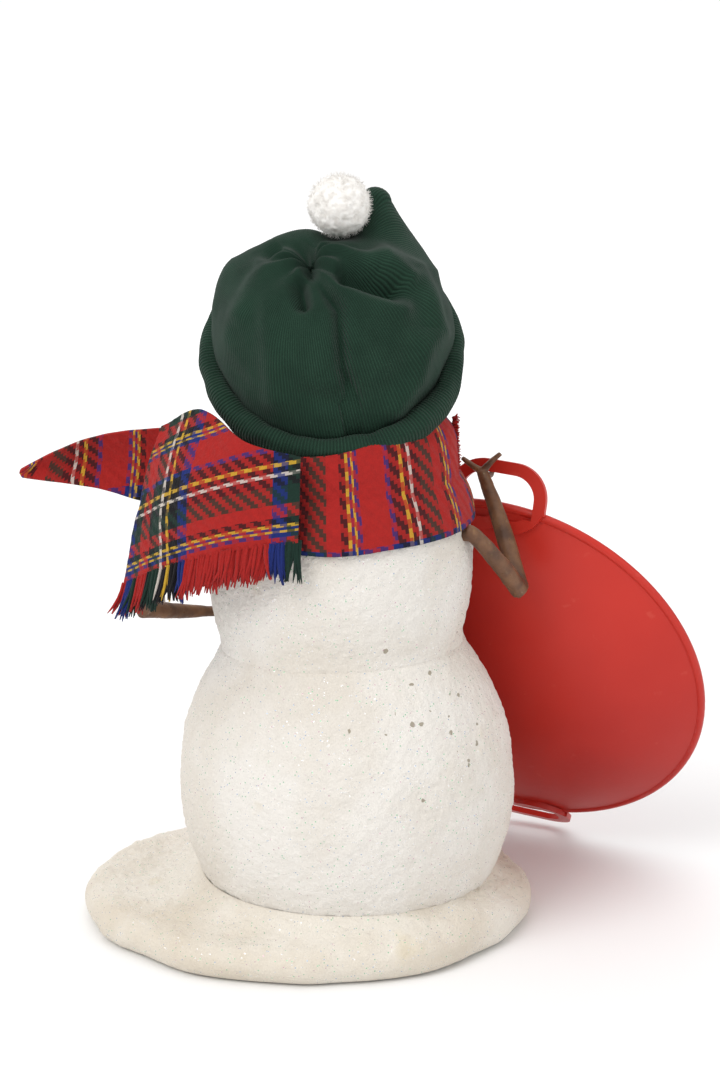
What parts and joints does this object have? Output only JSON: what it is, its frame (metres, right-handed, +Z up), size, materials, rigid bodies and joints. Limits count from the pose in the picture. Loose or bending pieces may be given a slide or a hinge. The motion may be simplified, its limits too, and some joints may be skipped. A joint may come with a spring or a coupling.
{
  "type": "snowman figure",
  "caption": "Flocked snowman figure in a rib-knit cap and tartan scarf, with turning twig arms and a red saucer sled hung from one hand.",
  "frame": {"origin": "on the ground, straight under the centre of the lower ball", "axes": "+Z up, the figure faces -Y, and its left hand is on the +X side"},
  "size_m": [0.1641, 0.1132, 0.1794],
  "materials": {
    "grey_felt": "matte felt",
    "plywood": "sanded",
    "zinc_steel": "zinc plated",
    "snow_base_flock": "matte flock with glitter",
    "turned_wood": "turned, bare",
    "snow_flock": "matte flock with glitter",
    "dowel_wood": "sanded",
    "coal": "rough black",
    "carrot": "painted satin",
    "green_knit": "fine rib knit",
    "white_pom": "brushed fibre",
    "tartan": "brushed wool twill",
    "twig_brown": "stained, with glitter",
    "red_plastic": "satin, slightly translucent"
  },
  "bodies": {
    "root": {"base_felt": "grey_felt", "base_board": "plywood", "base_screw": "zinc_steel", "snow_base": "snow_base_flock", "lower_ball": "turned_wood", "lower_snow": "snow_flock", "chest_ball": "turned_wood", "chest_snow": "snow_flock", "head_ball": "turned_wood", "head_snow": "snow_flock", "spine_dowel": "dowel_wood", "left_eye": "coal", "right_eye": "coal", "carrot_nose": "carrot", "mouth_coals": "coal", "upper_button": "coal", "middle_button": "coal", "lower_button": "coal", "hat": "green_knit", "pom_pom": "white_pom", "scarf": "tartan"},
    "left_arm": {"left_arm": "twig_brown"},
    "right_arm": {"right_arm": "twig_brown"},
    "saucer": {"saucer": "red_plastic"}
  },
  "joints": [
    {"name": "right_arm_swivel", "type": "hinge", "parent": "root", "child": "right_arm", "pos_m": [-0.02888, 0.01121, 0.09729], "axis": [0.9392, -0.342, -0.0295], "range_deg": [-12, 0]},
    {"name": "left_arm_swivel", "type": "hinge", "parent": "root", "child": "left_arm", "pos_m": [0.03268, 0.01121, 0.09536], "axis": [0.9392, 0.342, -0.0295], "range_deg": [-40, 5]},
    {"name": "saucer_swing", "type": "hinge", "parent": "right_arm", "child": "saucer", "pos_m": [-0.03375, -0.01802, 0.10715], "axis": [0.9156, -0.3943, 0.0791], "range_deg": [-40, 0]}
  ]
}
